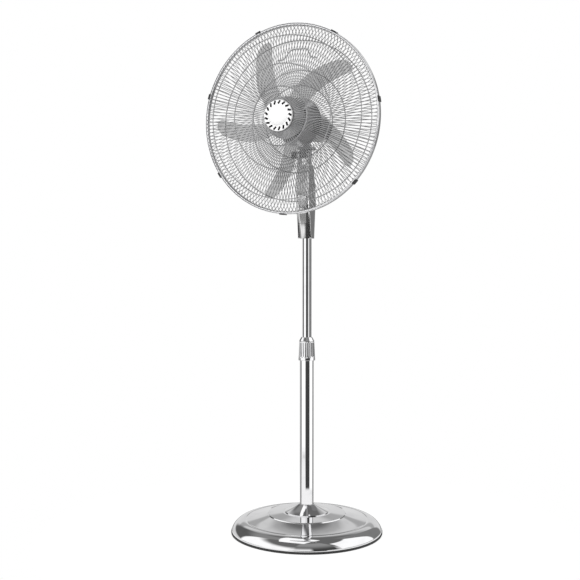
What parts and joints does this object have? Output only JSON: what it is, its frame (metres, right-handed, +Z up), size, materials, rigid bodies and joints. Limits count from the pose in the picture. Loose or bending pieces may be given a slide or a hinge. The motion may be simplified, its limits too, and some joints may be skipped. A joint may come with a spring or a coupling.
{
  "type": "pedestal fan",
  "caption": "Pedestal fan with a chromed wire guard, swept blades, a tilting and swinging head, a telescopic pole and a round stepped base.",
  "frame": {"origin": "on the floor, at the axis of the pole", "axes": "+Z up along the pole, the fan blows to -Y, +X to the right of someone facing the fan"},
  "size_m": [0.4732, 0.396, 1.3001],
  "materials": {
    "chrome": "polished chrome plate",
    "guard_wire": "chromed steel wire",
    "neck_silver": "metallised plastic",
    "key_silver": "metallised plastic",
    "motor_grey": "satin grey paint",
    "blade_smoke": "see-through smoke-grey plastic",
    "hub_silver": "satin silver",
    "badge_white": "bright silver",
    "cast_alloy": "die cast",
    "dark_plastic": "moulded black",
    "bush_nylon": "moulded nylon",
    "steel": "bright steel",
    "weight_iron": "raw casting",
    "rubber_black": "moulded rubber",
    "copper": "enamelled copper",
    "bronze": "sintered bronze"
  },
  "bodies": {
    "base": {"base_cover": "chrome", "base_weight": "weight_iron", "base_bottom_plate": "steel", "base_edge_trim": "rubber_black", "pole_socket": "steel", "socket_screws": "steel", "pole_plug": "bush_nylon", "pole_bolt": "steel", "pole_escutcheon": "chrome", "lower_tube": "chrome", "clamp_collet": "bush_nylon", "collar_cap": "chrome"},
    "collar": {"height_collar": "chrome"},
    "mast": {"upper_tube": "chrome", "tube_guide": "bush_nylon", "neck_lower_cover": "neck_silver", "control_panel": "neck_silver", "neck_upper_cover": "neck_silver", "neck_rear_shell": "neck_silver", "switch_block": "dark_plastic", "neck_clamp_screw": "steel", "cord_gland": "dark_plastic", "tilt_pin": "steel"},
    "key_0": {"speed_key_0": "key_silver"},
    "key_1": {"speed_key_1": "key_silver"},
    "key_2": {"speed_key_2": "key_silver"},
    "key_3": {"speed_key_3": "key_silver"},
    "tilt_knob": {"tilt_lock_knob": "dark_plastic"},
    "bracket": {"tilt_bracket": "cast_alloy", "swivel_pin": "steel"},
    "link": {"crank_link": "steel"},
    "head": {"motor_front_cover": "motor_grey", "motor_rear_cover": "motor_grey", "stator_core": "steel", "stator_windings": "copper", "front_bush": "bronze", "rear_bush": "bronze", "gearbox_housing": "cast_alloy", "capacitor": "dark_plastic", "front_guard_spokes": "guard_wire", "rear_guard_spokes": "guard_wire", "front_guard_rings": "guard_wire", "rear_guard_rings": "guard_wire", "front_guard_plate": "guard_wire", "rear_guard_plate": "guard_wire", "guard_nut": "dark_plastic", "carry_handle": "guard_wire", "guard_rim_band": "chrome", "guard_clips": "dark_plastic", "badge": "badge_white", "badge_vent_ring": "badge_white"},
    "osc_drive": {"worm_wheel": "bush_nylon", "crank": "steel"},
    "osc_knob": {"oscillation_knob": "dark_plastic"},
    "rotor": {"rotor_core": "steel", "motor_shaft": "steel", "drive_pin": "steel", "fan_blades": "blade_smoke", "blade_hub": "hub_silver", "spinner_cap": "hub_silver"}
  },
  "joints": [
    {"name": "collar_turn", "type": "hinge", "parent": "base", "child": "collar", "pos_m": [0, 0, 0.476], "axis": [0, 0, 1], "range_deg": [0, 90]},
    {"name": "height_slide", "type": "slide", "parent": "base", "child": "mast", "axis": [0, 0, 1], "range_m": [-0.23, 0.09]},
    {"name": "tilt_knob_turn", "type": "hinge", "parent": "mast", "child": "tilt_knob", "pos_m": [0, -0.016, 0.9856], "axis": [-1, 0, 0], "range_deg": [-180, 0]},
    {"name": "head_tilt", "type": "hinge", "parent": "mast", "child": "bracket", "pos_m": [0, -0.016, 0.9856], "axis": [-1, 0, 0], "range_deg": [-8, 25]},
    {"name": "head_swing", "type": "hinge", "parent": "bracket", "child": "head", "pos_m": [0, 0, 1.0196], "axis": [0, 0, 1], "range_deg": [-40, 40]},
    {"name": "link_swing", "type": "hinge", "parent": "bracket", "child": "link", "pos_m": [-0.0205, -0.009, 1.0074], "axis": [0, 0, 1], "range_deg": [-12, 12]},
    {"name": "blade_spin", "type": "hinge", "parent": "head", "child": "rotor", "pos_m": [0, -0.107, 1.0636], "axis": [0, 1, 0], "continuous": true},
    {"name": "worm_wheel_turn", "type": "hinge", "parent": "head", "child": "osc_drive", "pos_m": [-0.0132, 0.015, 1.0636], "axis": [0, 0, 1], "continuous": true},
    {"name": "swing_knob_lift", "type": "slide", "parent": "head", "child": "osc_knob", "axis": [0, 0, 1], "range_m": [0, 0.008]},
    {"name": "key_0_press", "type": "slide", "parent": "mast", "child": "key_0", "axis": [0, 1, 0], "range_m": [0, 0.003], "stiffness_N_per_m": 300},
    {"name": "key_1_press", "type": "slide", "parent": "mast", "child": "key_1", "axis": [0, 1, 0], "range_m": [0, 0.003], "stiffness_N_per_m": 300},
    {"name": "key_2_press", "type": "slide", "parent": "mast", "child": "key_2", "axis": [0, 1, 0], "range_m": [0, 0.003], "stiffness_N_per_m": 300},
    {"name": "key_3_press", "type": "slide", "parent": "mast", "child": "key_3", "axis": [0, 1, 0], "range_m": [0, 0.003], "stiffness_N_per_m": 300}
  ],
  "couplings": [
    {"joint": "worm_wheel_turn", "follows": "blade_spin", "ratio": 0.025}
  ]
}
